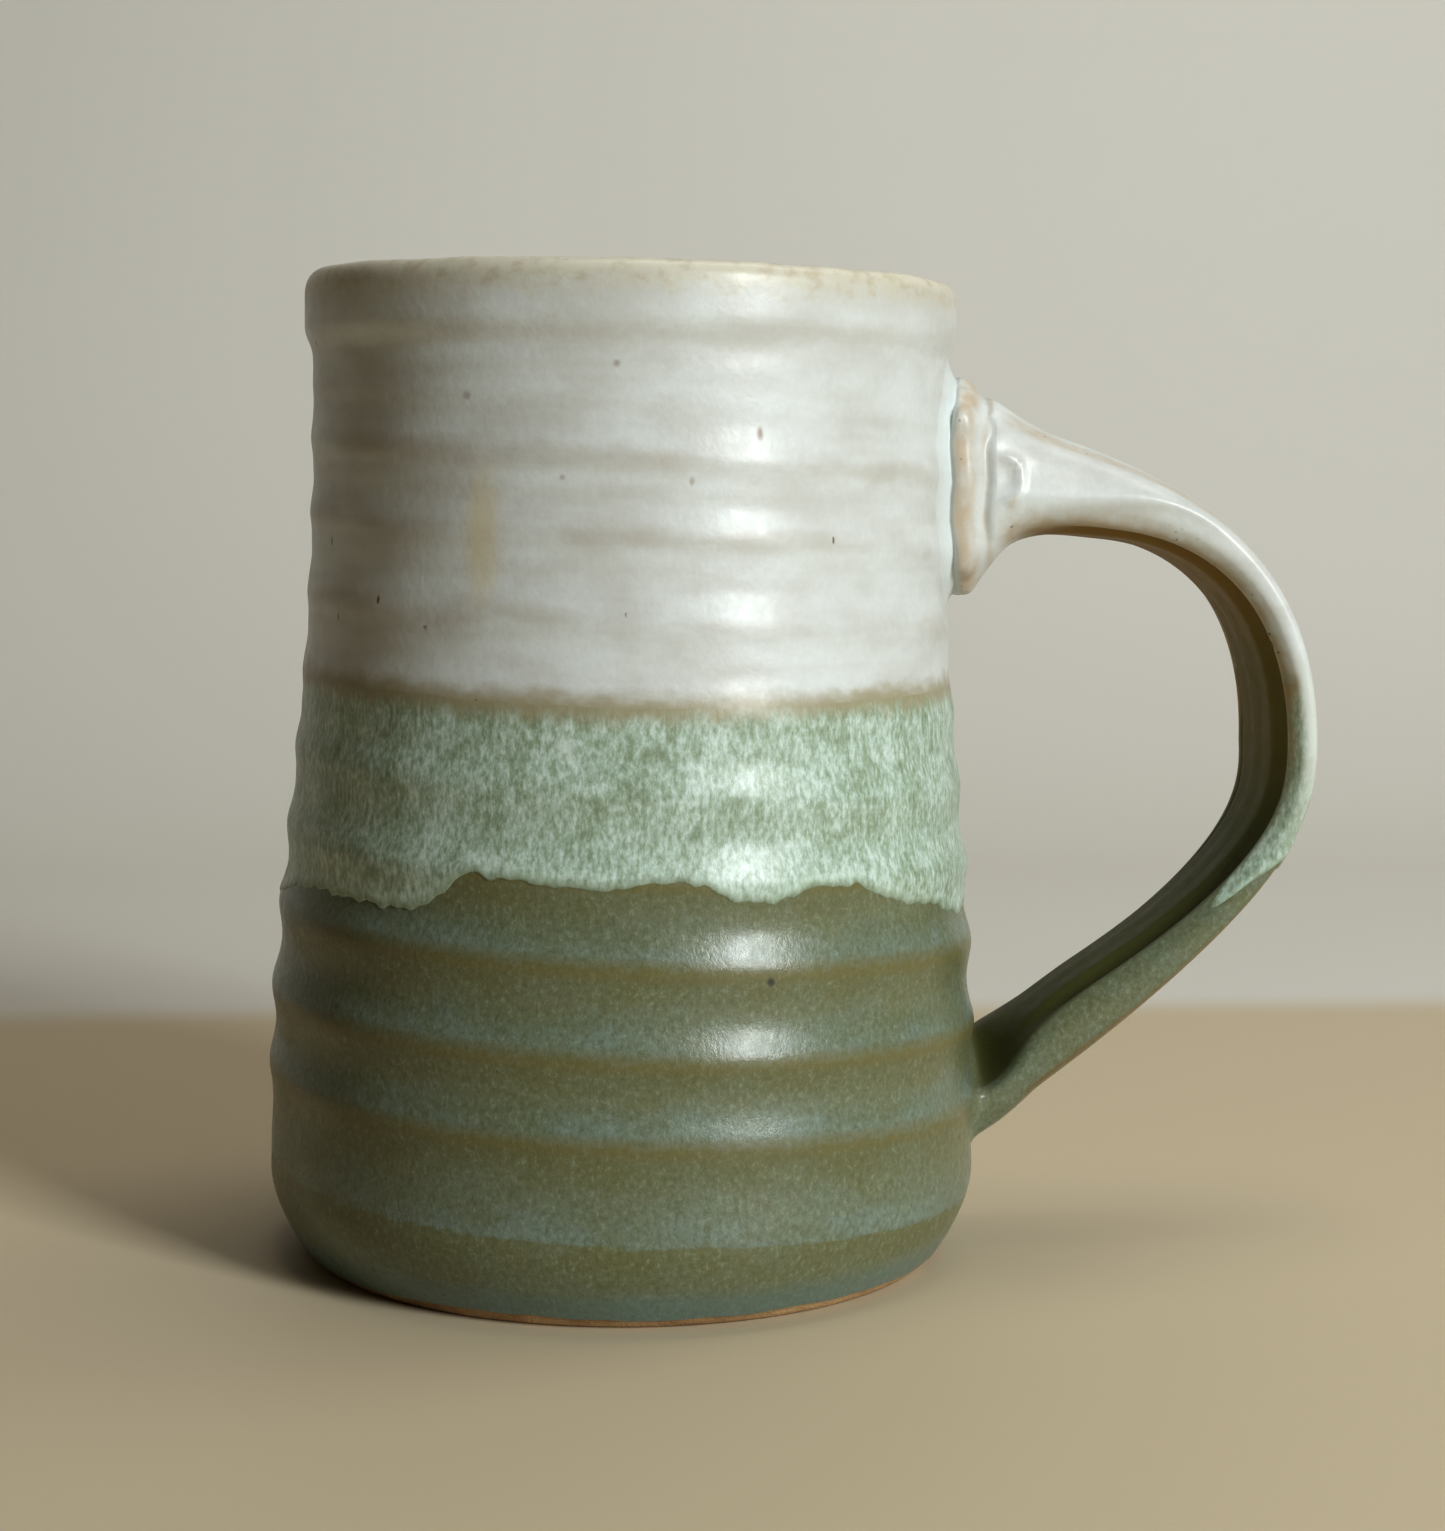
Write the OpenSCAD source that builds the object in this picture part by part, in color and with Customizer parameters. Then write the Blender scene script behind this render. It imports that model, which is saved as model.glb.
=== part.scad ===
// Hand-thrown ceramic mug: a ringed, tapering cup with a pulled strap handle on the +X side.
// The axis of the cup is Z, and the foot rests on the plane z = 0.

/* [Body] */
// Height from the table to the top of the lip
mug_height = 125; // [118:1:135]
// Outer radius of the neck below the lip
neck_radius = 40.3; // [39:0.1:42]
// Outer radius of the belly near the bottom
belly_radius = 45.6; // [44:0.1:47]
// Outer radius of the face that rests on the table
foot_radius = 41; // [39.5:0.5:42.5]
// Height at which the taper leaves the belly
taper_from = 18; // [14:1:26]
// Height at which the taper reaches the neck
taper_to = 112; // [105:1:114]
// Curvature of the taper, 1 for an even S curve
taper_power = 1.4; // [1:0.1:1.8]
// Height of the rounded bottom edge
bottom_round = 11; // [9:0.5:13]
// Thickness of the thrown wall
wall = 4.2; // [3.5:0.1:5]
// Height of the inner floor above the table
floor_height = 7.5; // [6:0.5:10]
// Radius of the curve between the inner wall and the floor
floor_corner = 12; // [8:1:16]

/* [Throwing rings] */
// Distance from one deep finger ridge to the next
ring_pitch = 17; // [15:0.5:19]
// Height of a ridge on the lower wall above the mean surface
ring_depth = 0.5; // [0:0.05:0.8]
// Share of that height left on the smoother upper wall
upper_ring_share = 0.25; // [0:0.05:0.5]

/* [Lip] */
// Thickness of the half-round lip
lip_thickness = 3.8; // [3.4:0.1:4.4]
// How far the lip rolls out beyond the neck
lip_flare = 1.1; // [0:0.1:1.6]
// Height over which the lip rolls out
lip_zone = 8; // [5:0.5:10]

/* [Foot] */
// Width of the ring that touches the table
foot_ring_width = 6; // [4:0.5:8]
// Depth of the trimmed recess inside the foot ring
foot_recess = 1.2; // [0.8:0.1:2]

/* [Glaze] */
// Thickness of each glaze coat
glaze = 0.5; // [0.3:0.1:0.8]
// Height of the bare clay left above the table
bare_height = 1.3; // [1:0.1:2.5]
// Height of the lower edge of the overlapping coats
drip_height = 50; // [45:0.5:54]
// Height of the lower edge of the plain white coat
white_height = 74; // [70:0.5:78]

/* [Handle] */
// Distance from the mug's axis to the middle of the strap where it stands out most
handle_reach = 87; // [82:0.5:90]
// Height of that outermost point
handle_mid_height = 65; // [62:1:70]
// Height of the middle of the upper root
upper_root_height = 99.5; // [98:0.5:100]
// Height of the middle of the lower root
lower_root_height = 20.5; // [20:0.5:22]
// Width of the strap
strap_width = 28; // [24:0.5:30]
// Width of the strap at its lower end
tail_width = 20; // [18:0.5:24]
// Thickness of the strap at its outermost point
strap_thickness = 3.6; // [3.4:0.1:5]
// Thickness of the strap at its lower end
tail_thickness = 10; // [8:0.1:12]
// Height of the flared upper root
flare_height = 28; // [26:0.5:29]
// Height of the raised band along the inner face of the strap
inner_band = 1; // [0:0.1:1.5]

/* [Joins] */
// How far the collar of clay spreads on the wall around the upper root
upper_spread = 2; // [1.5:0.1:3]
// How far the collar of clay spreads on the wall around the lower root
lower_spread = 1.2; // [0.8:0.1:2]
// How far each collar swells out
collar_swell = 0.8; // [0.4:0.1:1.2]

/* [Hidden] */

// Resolution of the turned shapes and of the swept handle
$fn = 96;
wall_step = 2.2;
arc_steps = 10;
section_points = 28;
top_stations = 20;
tail_stations = 20;

// Handle stations at which one coat ends and the next begins
collar_stations = 2;
white_station = 18;
green_station = 30;
last_station = top_stations + tail_stations;

// Shape of the strap: roundness of its section, how fast the flare dies away, how late the
// tail thickens, and the share of the half width over which the inner band rises
section_power = 0.62;
flare_power = 2.7;
tail_power = 4;
band_width = 0.45;

// Pull of the two curves of the strap: how far it leaves the wall level, how much higher than
// the root it heads, how soon it turns in below the outermost point, and its straight run home
level_run = 0.14;
crown_rise = 4;
turn_in = 0.15;
tail_bulge = 1;
straight_run = 0.6;

// Shares of the way down a collar at which its swell is shaped
swell_shares = [0.25, 0.5, 0.75];

// The tail meets the wall aslant, so its mark on the wall is taller than the tail is thick
tail_root_height = 1.3 * tail_thickness;

lip_radius = lip_thickness / 2;
lip_height = mug_height - lip_radius;
lip_middle = neck_radius + lip_flare - lip_radius;

function smooth(t) = let (c = min(max(t, 0), 1)) c * c * (3 - 2 * c);
function mix(a, b, t) = a * (1 - t) + b * t;
function reverse(list) = [for (i = [len(list) - 1 : -1 : 0]) list[i]];

// ---- Turned profile of the cup ----

function taper(z) =
    let (t = min(max((z - taper_from) / (taper_to - taper_from), 0), 1))
    mix(neck_radius, belly_radius, pow((1 + cos(180 * t)) / 2, taper_power));
function ring_wave(z) =
    ring_depth * mix(1, upper_ring_share, smooth((z - drip_height) / (white_height - drip_height)))
    * cos(360 * (z - bottom_round) / ring_pitch) * (1 - smooth((z - taper_to) / lip_zone));
function upper_radius(z) =
    taper(z) + ring_wave(z) + lip_flare * smooth((z - lip_height + lip_zone) / lip_zone);
function outer_radius(z) =
    z >= bottom_round ? upper_radius(z)
    : mix(foot_radius, upper_radius(bottom_round), sin(90 * z / bottom_round));
function inner_radius(z) =
    mix(taper(z) - wall, lip_middle - lip_radius, smooth((z - taper_to) / (lip_height - taper_to)));

function heights(from, to) =
    let (n = ceil((to - from) / wall_step)) [for (i = [0 : n]) mix(from, to, i / n)];
function wall_line(from, to, depth) = [for (z = heights(from, to)) [outer_radius(z) - depth, z]];
function lip_arc(depth) =
    [for (i = [1 : arc_steps])
        let (a = 180 * i / arc_steps)
        [lip_middle + (lip_radius - depth) * cos(a), lip_height + (lip_radius - depth) * sin(a)]];
function inside_wall(depth) =
    [for (z = reverse(heights(floor_height + floor_corner, lip_height))) [inner_radius(z) + depth, z]];
function inside_corner(depth) =
    let (edge = inner_radius(floor_height + floor_corner) - floor_corner)
    [for (i = [1 : arc_steps])
        let (a = 90 * i / arc_steps, r = floor_corner + depth)
        [edge + r * cos(a), floor_height + floor_corner - r * sin(a)]];
function inside_line(depth) =
    concat(inside_wall(depth), inside_corner(depth), [[0, floor_height - depth]]);

module turned(points) {
    rotate_extrude() polygon(points);
}

// One coat of glaze on the outside of the wall
module wall_coat(from, to) {
    turned(concat(wall_line(from, to, 0), reverse(wall_line(from, to, glaze))));
}

// ---- Handle: a strap swept along two cubic curves in the plane y = 0 ----

upper_root = [outer_radius(upper_root_height), upper_root_height];
lower_root = [outer_radius(lower_root_height), lower_root_height];
outermost = [handle_reach, handle_mid_height];
top_curve = [
    upper_root,
    [mix(upper_root[0], handle_reach, level_run), upper_root_height],
    [handle_reach, upper_root_height + crown_rise],
    outermost
];
tail_curve = [
    outermost,
    [handle_reach, mix(handle_mid_height, lower_root_height, turn_in)],
    [handle_reach + tail_bulge, mix(lower_root_height, handle_mid_height, straight_run)],
    lower_root
];

function bezier(p, t) =
    pow(1 - t, 3) * p[0] + 3 * t * pow(1 - t, 2) * p[1] + 3 * t * t * (1 - t) * p[2] + pow(t, 3) * p[3];
function bezier_slope(p, t) =
    3 * pow(1 - t, 2) * (p[1] - p[0]) + 6 * t * (1 - t) * (p[2] - p[1]) + 3 * t * t * (p[3] - p[2]);
function on_top(i) = i <= top_stations;
function share(i) = on_top(i) ? i / top_stations : (i - top_stations) / tail_stations;
function centre(i) = bezier(on_top(i) ? top_curve : tail_curve, share(i));
function inward(i) =
    let (d = bezier_slope(on_top(i) ? top_curve : tail_curve, share(i)))
    [d[1], -d[0]] / norm(d);
function thickness(i) =
    on_top(i) ? mix(strap_thickness, flare_height, pow(1 - share(i), flare_power))
    : mix(strap_thickness, tail_thickness, pow(share(i), tail_power));
function width(i) = on_top(i) ? strap_width : mix(strap_width, tail_width, share(i));

// Point k of a section: [across the strap, towards the inner face]
function rounded(v) = sign(v) * pow(abs(v), section_power);
function section_point(k, w, t) =
    let (a = 360 * k / section_points, across = rounded(cos(a)), through = rounded(sin(a)))
    [across * w / 2,
     through * t / 2 + (through > 0 ? inner_band * smooth((1 - abs(across)) / band_width) : 0)];

// A point seen along X as [y, z], laid on the wall at a given depth in it
function on_wall(y, z, depth) = [sqrt(pow(outer_radius(z) - depth, 2) - y * y), y, z];

// Root outlines in [y, z], grown by a margin
function upper_outline(k, margin) =
    let (p = section_point(k, strap_width - 2 * glaze + 2 * margin, flare_height - 2 * glaze + 2 * margin))
    [p[0], upper_root_height - p[1]];
function lower_outline(k, margin) =
    let (p = section_point(k, tail_width - 2 * glaze + 2 * margin, tail_root_height + 2 * margin))
    [p[0], lower_root_height + p[1]];

function spread_outline(upper) =
    [for (k = [0 : section_points - 1])
        upper ? upper_outline(k, upper_spread) : lower_outline(k, lower_spread)];

function strap_point(i, k, depth) =
    let (
        p = section_point(k, width(i) - 2 * depth, thickness(i) - 2 * depth),
        c = centre(i) + p[1] * inward(i)
    )
    [c[0], p[0], c[1]];
function root_point(i, k) =
    let (o = i == 0 ? upper_outline(k, 0) : lower_outline(k, 0))
    on_wall(o[0], o[1], glaze);

// Rings of the clay strap from the wall to the wall
function clay_ring(i) =
    [for (k = [0 : section_points - 1])
        i == 0 || i == last_station ? root_point(i, k) : strap_point(i, k, glaze)];
function glaze_ring(i) = [for (k = [0 : section_points - 1]) strap_point(i, k, 0)];

// Rings that close an end over the curved wall, each a share of the root's size
cap_shares = [0.66, 0.33, 0.02];
function cap_ring(i, size) =
    let (z0 = i == 0 ? upper_root_height : lower_root_height)
    [for (k = [0 : section_points - 1])
        let (o = i == 0 ? upper_outline(k, 0) : lower_outline(k, 0))
        on_wall(size * o[0], z0 + size * (o[1] - z0), glaze)];

// Closed solid through a list of rings, with a flat lid on each end or joined end to end
module skin(rings, looped) {
    n = len(rings);
    m = len(rings[0]);
    sides = [
        for (i = [0 : n - (looped ? 1 : 2)], k = [0 : m - 1])
            let (j = (i + 1) % n, l = (k + 1) % m)
            each [[i * m + k, j * m + k, j * m + l], [i * m + k, j * m + l, i * m + l]]
    ];
    lids = looped ? [] : [
        [for (k = [0 : m - 1]) k],
        [for (k = [m - 1 : -1 : 0]) (n - 1) * m + k]
    ];
    polyhedron(points = [for (r = rings) each r], faces = concat(sides, lids), convexity = 6);
}

// Sleeve of glaze round the strap from one station to another
module strap_coat(from, to) {
    rings = concat(
        [for (i = [from : to]) glaze_ring(i)],
        [for (i = [to : -1 : from]) clay_ring(i)]
    );
    skin(rings, true);
}

// Collar of clay round a root: along the strap, out to the glaze, and down to the wall in a swell
module collar(root, step) {
    upper = root == 0;
    start = root + step * collar_stations;
    outline = spread_outline(upper);
    foot_of = function (depth) [for (o = outline) on_wall(o[0], o[1], depth)];
    top_ring = glaze_ring(start);
    bottom_ring = foot_of(0);
    swell = [for (s = swell_shares)
        [for (k = [0 : section_points - 1])
            let (
                p = mix(top_ring[k], bottom_ring[k], s),
                away = [0, outline[k][0], outline[k][1] - (upper ? upper_root_height : lower_root_height)]
            )
            p + collar_swell * sin(180 * s) * away / norm(away)]];
    middle = [for (k = [0 : section_points - 1])
        let (p = root_point(root, k), o = (outline[k] + [p[1], p[2]]) / 2)
        on_wall(o[0], o[1], glaze)];
    rings = concat(
        [for (i = [0 : collar_stations]) clay_ring(root + step * i)],
        [top_ring], swell, [bottom_ring, foot_of(glaze), middle]
    );
    skin(upper ? rings : reverse(rings), true);
}

// Prism through the wall's coats where a collar stands
module port(upper) {
    rotate([90, 0, 90])
        linear_extrude(height = handle_reach)
            polygon(spread_outline(upper));
}

// ---- Sub-parts ----

module thrown_body() {
    ring_inner = foot_radius - glaze - foot_ring_width;
    color("peru") turned(concat(
        [[0, foot_recess], [ring_inner - foot_recess, foot_recess], [ring_inner, 0]],
        wall_line(0, bare_height, glaze),
        wall_line(bare_height, drip_height, glaze),
        wall_line(drip_height, white_height, glaze),
        wall_line(white_height, lip_height, glaze),
        lip_arc(glaze),
        inside_line(glaze)
    ));
}

module handle_strap() {
    color("peru") skin(concat(
        [for (s = reverse(cap_shares)) cap_ring(0, s)],
        [for (i = [0 : last_station]) clay_ring(i)],
        [for (s = cap_shares) cap_ring(last_station, s)]
    ), false);
}

module upper_join_collar() {
    color("linen") collar(0, 1);
}

module lower_join_collar() {
    color("darkseagreen") collar(last_station, -1);
}

module inside_glaze() {
    color("ivory") turned(concat(inside_line(0), reverse(inside_line(glaze))));
}

module upper_white_glaze() {
    color("whitesmoke") difference() {
        turned(concat(
            wall_line(white_height, lip_height, 0),
            lip_arc(0),
            reverse(lip_arc(glaze)),
            reverse(wall_line(white_height, lip_height, glaze))
        ));
        port(true);
    }
}

module overlap_glaze() {
    color("palegreen") wall_coat(drip_height, white_height);
}

module lower_green_glaze() {
    color("slategray") difference() {
        wall_coat(bare_height, drip_height);
        port(false);
    }
}

module handle_white_glaze() {
    color("whitesmoke") strap_coat(collar_stations, white_station);
}

module handle_overlap_glaze() {
    color("palegreen") strap_coat(white_station, green_station);
}

module handle_green_glaze() {
    color("slategray") strap_coat(green_station, last_station - collar_stations);
}

thrown_body();
handle_strap();
upper_join_collar();
lower_join_collar();
inside_glaze();
upper_white_glaze();
overlap_glaze();
lower_green_glaze();
handle_white_glaze();
handle_overlap_glaze();
handle_green_glaze();
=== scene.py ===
import math

import bpy
import numpy as np
from mathutils import Matrix, Vector


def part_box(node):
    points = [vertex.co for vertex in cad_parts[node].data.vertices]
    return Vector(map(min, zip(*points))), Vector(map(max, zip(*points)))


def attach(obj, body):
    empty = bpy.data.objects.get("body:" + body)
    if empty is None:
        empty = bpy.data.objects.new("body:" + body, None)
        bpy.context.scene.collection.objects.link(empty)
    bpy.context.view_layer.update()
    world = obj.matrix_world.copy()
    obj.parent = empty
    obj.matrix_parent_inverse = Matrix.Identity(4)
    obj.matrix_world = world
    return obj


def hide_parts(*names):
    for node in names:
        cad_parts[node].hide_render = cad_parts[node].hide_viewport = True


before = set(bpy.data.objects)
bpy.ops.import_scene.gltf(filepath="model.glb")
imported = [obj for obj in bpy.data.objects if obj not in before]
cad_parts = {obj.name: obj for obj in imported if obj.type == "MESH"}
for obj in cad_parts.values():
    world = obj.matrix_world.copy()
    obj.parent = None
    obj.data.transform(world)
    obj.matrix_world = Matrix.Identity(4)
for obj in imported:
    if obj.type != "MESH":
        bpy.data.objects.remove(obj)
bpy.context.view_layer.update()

MM = 0.001

# ---------------------------------------------------------------------------
# Sizes, in millimetres. The outer limits come from the CAD frame.
# ---------------------------------------------------------------------------


def corner(node, side):
    """Lowest (0) or highest (1) corner of a CAD node, in millimetres."""
    return np.array(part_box(node)[side]) / MM


HEIGHT = corner("upper_white_glaze", 1)[2]
BELLY = corner("lower_green_glaze", 1)[1] - 0.5
STRAP_WIDTH = 2 * corner("handle_white_glaze", 1)[1]
CROWN = 1.68  # the strap's outer face and its coat, beyond the line that the strap follows
REACH = corner("handle_strap", 1)[0] - CROWN
FLOOR_TOP = corner("inside_glaze", 0)[2] + 0.5
RECESS = 1.2

NECK = 40.3
FOOT = 41.0
TAPER_FROM, TAPER_TO, TAPER_POWER = 18.0, 112.0, 1.4
BOTTOM_ROUND = 11.0
WALL = 4.2
COAT = 0.55
CORNER = 12.0
LEAN = -0.31

LIP_HALF, LIP_TALL = 1.9, 3.1
LIP_FLARE, LIP_BELOW, LIP_RISE = 1.0, 7.6, 3.6
LIP_Z = HEIGHT - LIP_TALL
LIP_MIDDLE = NECK + LIP_FLARE - LIP_HALF

# Heights of the finger ridges at the front of the cup, from the lip down to the foot
CRESTS = [124.0, 112.6, 101.8, 93.0, 83.0, 73.0, 63.5, 53.5, 43.4, 32.6, 22.7, 11.0, 0.0]

FRONT = math.radians(-96.5)  # direction from the axis to the viewer, the handle being at 0
COLUMNS = 512


def smooth(t):
    t = np.clip(t, 0, 1)
    return t * t * (3 - 2 * t)


def mix(a, b, t):
    return a * (1 - t) + b * t


def ripple(angle, seed, first, last, falloff=1.0):
    """A wave round the circle with unit spread, from its first to its last harmonic."""
    random = np.random.default_rng(seed)
    total, power = np.zeros_like(angle), 0.0
    for k in range(first, last + 1):
        size = k ** -falloff
        total = total + size * np.cos(k * angle + random.uniform(0, 2 * math.pi))
        power += size * size / 2
    return total / math.sqrt(power)


def round_curve(angle, points):
    """Smooth closed curve through (degrees from the front, value) pairs."""
    at = np.array([p[0] for p in points], float)
    value = np.array([p[1] for p in points], float)
    turn = (np.degrees(angle - FRONT) - at[0]) % 360 + at[0]
    at, value = np.append(at, at[0] + 360), np.append(value, value[0])
    i = np.clip(np.searchsorted(at, turn, side="right") - 1, 0, len(at) - 2)
    return mix(value[i], value[i + 1], smooth((turn - at[i]) / (at[i + 1] - at[i])))


# Lower edge of the overlapping white glaze: its lobes, by degrees from the front
DRIP = [
    (-90, 46.0), (-58, 49.3), (-34, 48.8), (-22, 53.6), (-4, 52.4), (11, 53.3), (21, 50.5),
    (36, 52.2), (56, 48.4), (76, 45.4), (100, 47.5), (128, 51.0), (152, 48.5), (176, 52.0),
    (204, 49.5), (232, 52.5),
]
# Upper edge of the green glaze under it
BAND_TOP = [(-90, 75.3), (-45, 74.3), (0, 73.2), (50, 73.5), (90, 74.2), (150, 73.4), (215, 74.6)]


def drip_edge(angle):
    return round_curve(angle, DRIP) + 0.17 * ripple(angle, 3, 24, 140, 0.5)


def band_top(angle):
    return round_curve(angle, BAND_TOP) + 0.10 * ripple(angle, 5, 6, 60, 0.7)


def bare_line(angle):
    return 1.35 + 0.16 * ripple(angle, 8, 2, 40, 0.9)


# ---------------------------------------------------------------------------
# Surface of the cup
# ---------------------------------------------------------------------------


def taper(z):
    """Outer radius without rings, flare or foot: full at the belly and narrow at the neck."""
    t = np.clip((z - TAPER_FROM) / (TAPER_TO - TAPER_FROM), 0, 1)
    return mix(NECK, BELLY, ((1 + np.cos(math.pi * t)) / 2) ** TAPER_POWER)


def ring_turns(z):
    """Count of finger ridges from the lip down to a height."""
    return np.interp(-z, [-c for c in CRESTS], range(len(CRESTS)))


def ring_shape(turns):
    """1 along a ridge, -1 in the hollow between two: the ridge is the sharper of the two."""
    blunt = 0.5
    wave = np.sqrt(np.sin(math.pi * turns) ** 2 + blunt ** 2)
    return 1 - 2 * (wave - blunt) / (math.sqrt(1 + blunt ** 2) - blunt)


def finger_rings(angle, z):
    """The throwing spiral, which settles into level rings near the foot."""
    turns = ring_turns(z)
    spiral = ring_shape(turns - (angle - FRONT) / (2 * math.pi))
    return mix(ring_shape(turns), spiral, smooth((z - 10) / 9))


# Half the depth of the finger rings, by height
RING_HEIGHTS = ((0, 0.0), (8, 0.06), (16, 0.14), (24, 0.28), (34, 0.42), (50, 0.40), (60, 0.26),
                (72, 0.17), (104, 0.18), (114, 0.0))
# Half the depth of the rib's lines, two and three to a turn
TWIN_LINES, TRIPLE_LINES = 0.034, 0.018


def fine_rings(angle, z):
    """Shallow lines that the rib left between the finger rings of the upper wall."""
    turns = 2 * math.pi * (ring_turns(z) - (angle - FRONT) / (2 * math.pi))
    fade = smooth((z - 56) / 14) * (1 - smooth((z - 112) / 5))
    waver = 0.7 + 0.3 * np.cos(angle + z / 7)
    twin = TWIN_LINES * waver * np.cos(2 * turns + 0.9)
    return fade * (twin + TRIPLE_LINES * np.cos(3 * turns + 2.1 + z / 31))


def ring_height(z):
    return np.interp(z, [h[0] for h in RING_HEIGHTS], [h[1] for h in RING_HEIGHTS])


def cup_radius(angle, z):
    """Outer radius of the glazed cup."""
    rings = ring_height(z) * finger_rings(angle, z) + fine_rings(angle, z)
    flare = LIP_FLARE * smooth((z - LIP_Z + LIP_BELOW) / LIP_RISE)
    radius = taper(z) + rings + flare
    foot = mix(FOOT, taper(BOTTOM_ROUND), np.sin(math.pi / 2 * np.clip(z / BOTTOM_ROUND, 0, 1)))
    radius = np.where(z < BOTTOM_ROUND, foot + rings, radius)
    # The lower part of the cup stands slightly away from the handle
    lean = LEAN * np.sin(angle - FRONT) * smooth((62 - z) / 34)
    out_of_round = 0.10 * np.cos(2 * (angle - 0.7)) + 0.06 * np.cos(3 * angle + z / 23)
    return radius + lean + out_of_round * smooth(z / 12)


def inner_radius(angle, z):
    """Radius of the glazed inside, with the softer rings of the fingers that pulled it up."""
    lip = LIP_MIDDLE - LIP_HALF
    radius = mix(taper(z) - WALL, lip, smooth((z - TAPER_TO) / (LIP_Z - TAPER_TO)))
    rings = 0.22 * finger_rings(angle + 1.5, z)
    return radius + rings * smooth((z - 20) / 20) * (1 - smooth((z - 104) / 12))


def rim_dip(angle):
    """How far the lip falls short of its highest point."""
    return 0.48 + 0.40 * np.cos(angle + 0.35) + 0.05 * ripple(angle, 12, 4, 30, 0.6)


def ring(angle, radius, z):
    return np.stack([radius * np.cos(angle), radius * np.sin(angle), z + 0 * angle], -1)


def wall_rows(angle, bottom, top, count, depth, ease=1.0):
    """Rings up the outer wall between two wavy edges, at a depth under the glaze."""
    rows = []
    for t in np.linspace(0, 1, count) ** ease:
        z = mix(bottom, top, t)
        rows.append(ring(angle, cup_radius(angle, z) - depth, z))
    return rows


def lip_rows(angle, count, depth):
    """Rings over the lip, from the outer wall to the inner one."""
    swell = cup_radius(angle, np.full_like(angle, LIP_Z)) - LIP_MIDDLE - LIP_HALF
    rows = []
    for a in np.linspace(0, math.pi, count)[1:]:
        across = (LIP_HALF - depth) * np.cos(a)
        radius = LIP_MIDDLE + across + swell * (1 + np.cos(a)) / 2
        z = LIP_Z + (LIP_TALL - depth - rim_dip(angle)) * np.sin(a)
        rows.append(ring(angle, radius, z))
    return rows


def inside_rows(angle, count, depth):
    """Rings down the inner wall, round its corner and in across the floor."""
    rows = []
    corner_z = FLOOR_TOP + CORNER
    for z in np.linspace(LIP_Z, corner_z, count)[1:]:
        rows.append(ring(angle, inner_radius(angle, np.full_like(angle, z)) + depth, z))
    middle = taper(corner_z) - WALL - CORNER
    for a in np.linspace(0, math.pi / 2, 16)[1:]:
        rows.append(ring(angle, middle + (CORNER + depth) * np.cos(a) + 0 * angle,
                         corner_z - (CORNER + depth) * np.sin(a)))
    for share in np.linspace(1, 0, 16)[1:-1]:
        swirl = 0.18 * np.cos(angle - 14 * share) * np.sin(math.pi * share)
        rows.append(ring(angle, middle * share + 0 * angle, FLOOR_TOP - depth + swirl))
    return rows


# ---------------------------------------------------------------------------
# Surface of the handle
# ---------------------------------------------------------------------------

MIDDLE_Z = 65.0
UPPER_Z, LOWER_Z = 99.5, 20.5
FLARE_HEIGHT, FLARE_POWER = 28.0, 2.7
STRAP_THICK, TAIL_THICK, TAIL_POWER, TAIL_WIDTH = 3.6, 10.0, 4.0, 20.0
TAIL_ROOT_HEIGHT = 13.0
SECTION_POWER = 0.62
AROUND = 144
STRAP_AROUND = np.linspace(0, 2 * math.pi, AROUND, endpoint=False)


def handle_curves():
    """Control points of the strap's two curves, seen from the side: above and below its middle."""
    upper = np.array([taper(UPPER_Z), UPPER_Z])
    lower = np.array([taper(LOWER_Z), LOWER_Z])
    out = np.array([REACH, MIDDLE_Z])
    top = [upper, [mix(upper[0], REACH, 0.14), UPPER_Z], [REACH, UPPER_Z + 4], out]
    tail = [out, [REACH, mix(MIDDLE_Z, LOWER_Z, 0.15)],
            [REACH + 1, mix(LOWER_Z, MIDDLE_Z, 0.6)], lower]
    return [np.array(p, float) for p in top], [np.array(p, float) for p in tail]


TOP_CURVE, TAIL_CURVE = handle_curves()


def bezier(p, t):
    t = t[..., None]
    return ((1 - t) ** 3 * p[0] + 3 * t * (1 - t) ** 2 * p[1]
            + 3 * t * t * (1 - t) * p[2] + t ** 3 * p[3])


def bezier_slope(p, t):
    t = t[..., None]
    return (3 * (1 - t) ** 2 * (p[1] - p[0]) + 6 * t * (1 - t) * (p[2] - p[1])
            + 3 * t * t * (p[3] - p[2]))


def strap_centre(s):
    """Centre line and inward direction; s is 0 at the upper root, 1 outermost, 2 at the tail."""
    top = (s <= 1)[..., None]
    t0, t1 = np.clip(s, 0, 1), np.clip(s - 1, 0, 1)
    centre = np.where(top, bezier(TOP_CURVE, t0), bezier(TAIL_CURVE, t1))
    slope = np.where(top, bezier_slope(TOP_CURVE, t0), bezier_slope(TAIL_CURVE, t1))
    slope = slope / np.linalg.norm(slope, axis=-1)[..., None]
    return centre, np.stack([slope[..., 1], -slope[..., 0]], -1)


def on_wall(y, z):
    """X of the cup's surface on the handle's side."""
    x = np.sqrt(taper(z) ** 2 - y * y)
    for _ in range(3):
        x = np.sqrt(np.maximum(cup_radius(np.arctan2(y, x), z) ** 2 - y * y, 1))
    return x


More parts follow.
